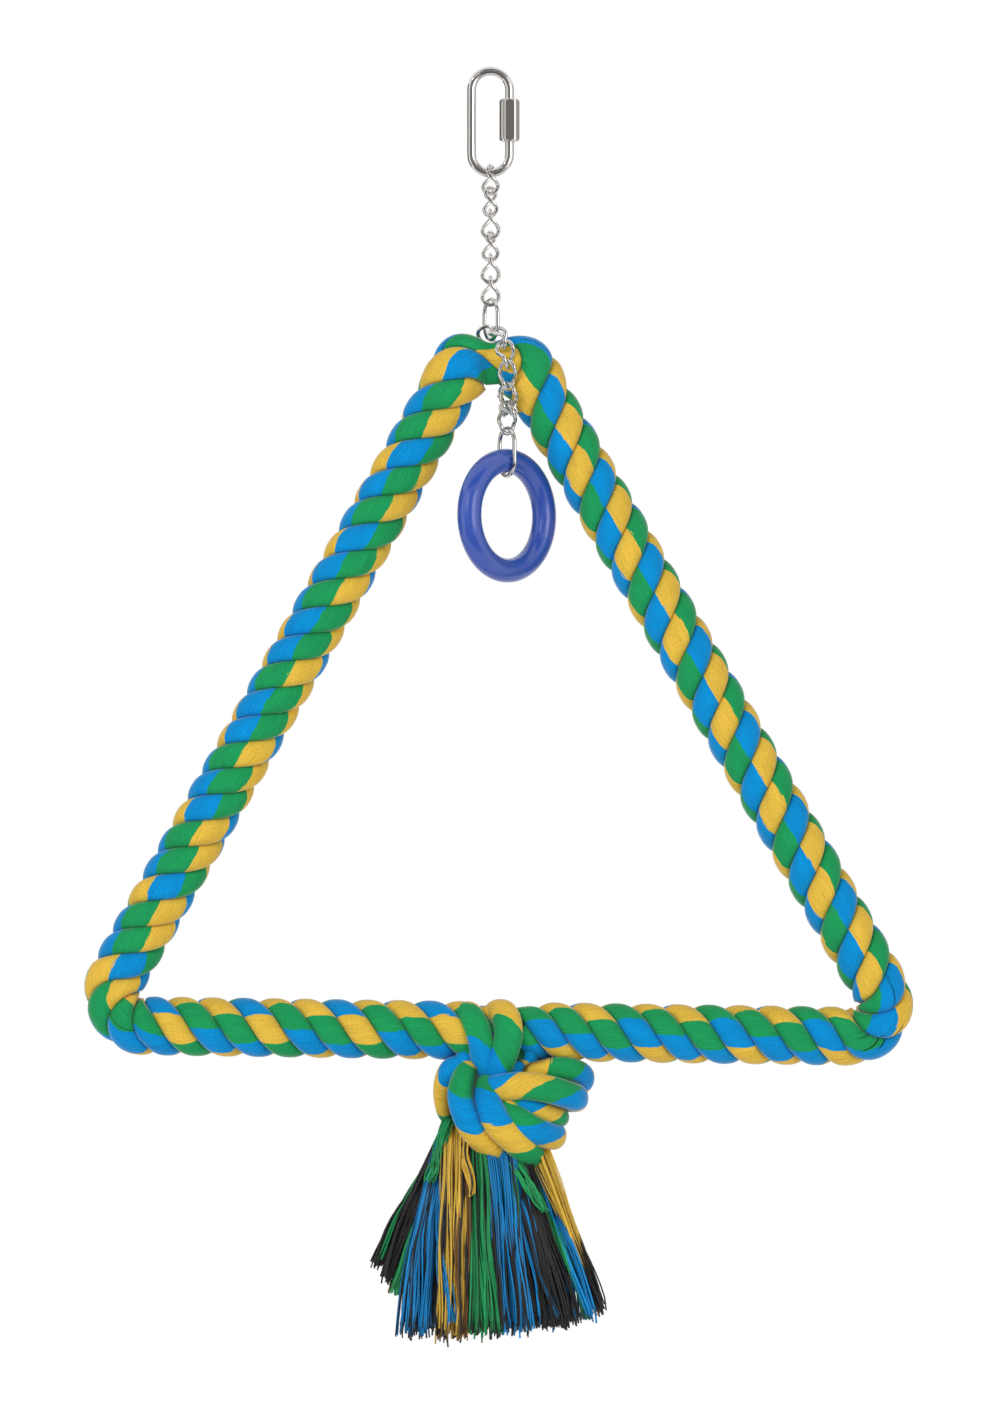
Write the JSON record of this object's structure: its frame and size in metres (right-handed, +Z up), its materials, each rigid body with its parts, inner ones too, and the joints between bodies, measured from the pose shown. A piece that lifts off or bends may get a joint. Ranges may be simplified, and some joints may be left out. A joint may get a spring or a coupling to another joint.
{
  "type": "bird rope swing",
  "caption": "Stiff triangle of three-colour cotton rope for cage birds, hung by a twisted-link chain from a screw quick link, with a plastic ring inside and a combed-out tassel below.",
  "frame": {"origin": "the hanging point: the inside of the quick link's top bend, where a cage bar or hook bears", "axes": "+X to the right along the bottom bar, +Y away from the viewer through the triangle, +Z up along the chain"},
  "size_m": [0.3006, 0.0636, 0.4649],
  "materials": {
    "bright_steel": "polished",
    "chain_steel": "gloss",
    "core_steel": "satin",
    "ring_plastic": "gloss",
    "rope_cotton": "matte",
    "tassel_yarn": "matte"
  },
  "bodies": {
    "quick_link": {"quick_link_body": "bright_steel"},
    "sleeve": {"quick_link_sleeve": "bright_steel"},
    "chain_1": {"chain_link_1": "chain_steel"},
    "chain_2": {"chain_link_2": "chain_steel"},
    "chain_3": {"chain_link_3": "chain_steel"},
    "chain_4": {"chain_link_4": "chain_steel"},
    "chain_5": {"chain_link_5": "chain_steel"},
    "chain_6": {"chain_link_6": "chain_steel"},
    "hanger": {"hanger_link": "chain_steel"},
    "rope_frame": {"rope": "rope_cotton", "core_wire": "core_steel", "knot": "rope_cotton", "tassel": "tassel_yarn", "sling_link_1": "chain_steel", "sling_link_2": "chain_steel", "sling_link_3": "chain_steel", "sling_link_4": "chain_steel", "sling_link_5": "chain_steel", "sling_link_6": "chain_steel", "sling_link_7": "chain_steel", "sling_link_8": "chain_steel", "sling_link_9": "chain_steel", "sling_link_10": "chain_steel"},
    "drop": {"drop_link": "chain_steel"},
    "ring_hanger": {"ring_link": "chain_steel"},
    "toy_ring": {"ring": "ring_plastic"}
  },
  "joints": [
    {"name": "sleeve_slide", "type": "slide", "parent": "quick_link", "child": "sleeve", "axis": [0, 0, 1], "range_m": [-0.0044, 0]},
    {"name": "chain_1_swing", "type": "hinge", "parent": "quick_link", "child": "chain_1", "pos_m": [0, 0, -0.0356], "axis": [1, 0, 0], "range_deg": [-40, 40]},
    {"name": "chain_2_swing", "type": "hinge", "parent": "chain_1", "child": "chain_2", "pos_m": [0, 0, -0.04088], "axis": [0.6157, 0.788, 0], "range_deg": [-40, 40]},
    {"name": "chain_3_swing", "type": "hinge", "parent": "chain_2", "child": "chain_3", "pos_m": [0, 0, -0.05092], "axis": [0.788, -0.6157, 0], "range_deg": [-40, 40]},
    {"name": "chain_4_swing", "type": "hinge", "parent": "chain_3", "child": "chain_4", "pos_m": [0, 0, -0.05708], "axis": [0.4226, 0.9063, 0], "range_deg": [-40, 40]},
    {"name": "chain_5_swing", "type": "hinge", "parent": "chain_4", "child": "chain_5", "pos_m": [0, 0, -0.06713], "axis": [0.9063, -0.4226, 0], "range_deg": [-40, 40]},
    {"name": "chain_6_swing", "type": "hinge", "parent": "chain_5", "child": "chain_6", "pos_m": [0, 0, -0.07328], "axis": [0, 1, 0], "range_deg": [-40, 40]},
    {"name": "hanger_swing", "type": "hinge", "parent": "chain_6", "child": "hanger", "pos_m": [0, 0, -0.08332], "axis": [1, 0, 0], "range_deg": [-40, 40]},
    {"name": "rope_swing", "type": "hinge", "parent": "hanger", "child": "rope_frame", "pos_m": [0.0002, 0, -0.09317], "axis": [-0.4226, 0.9063, 0], "range_deg": [-30, 30]},
    {"name": "drop_swing", "type": "hinge", "parent": "rope_frame", "child": "drop", "pos_m": [0.00598, -0.01077, -0.12058], "axis": [0.7071, -0.7071, 0], "range_deg": [-30, 4]},
    {"name": "ring_link_swing", "type": "hinge", "parent": "drop", "child": "ring_hanger", "pos_m": [0.00598, -0.01077, -0.12865], "axis": [0.4695, -0.8829, 0], "range_deg": [-30, 2]},
    {"name": "ring_swing", "type": "hinge", "parent": "ring_hanger", "child": "toy_ring", "pos_m": [0.00598, -0.01077, -0.1405], "axis": [0.682, 0.7314, 0], "range_deg": [-10, 30]}
  ]
}
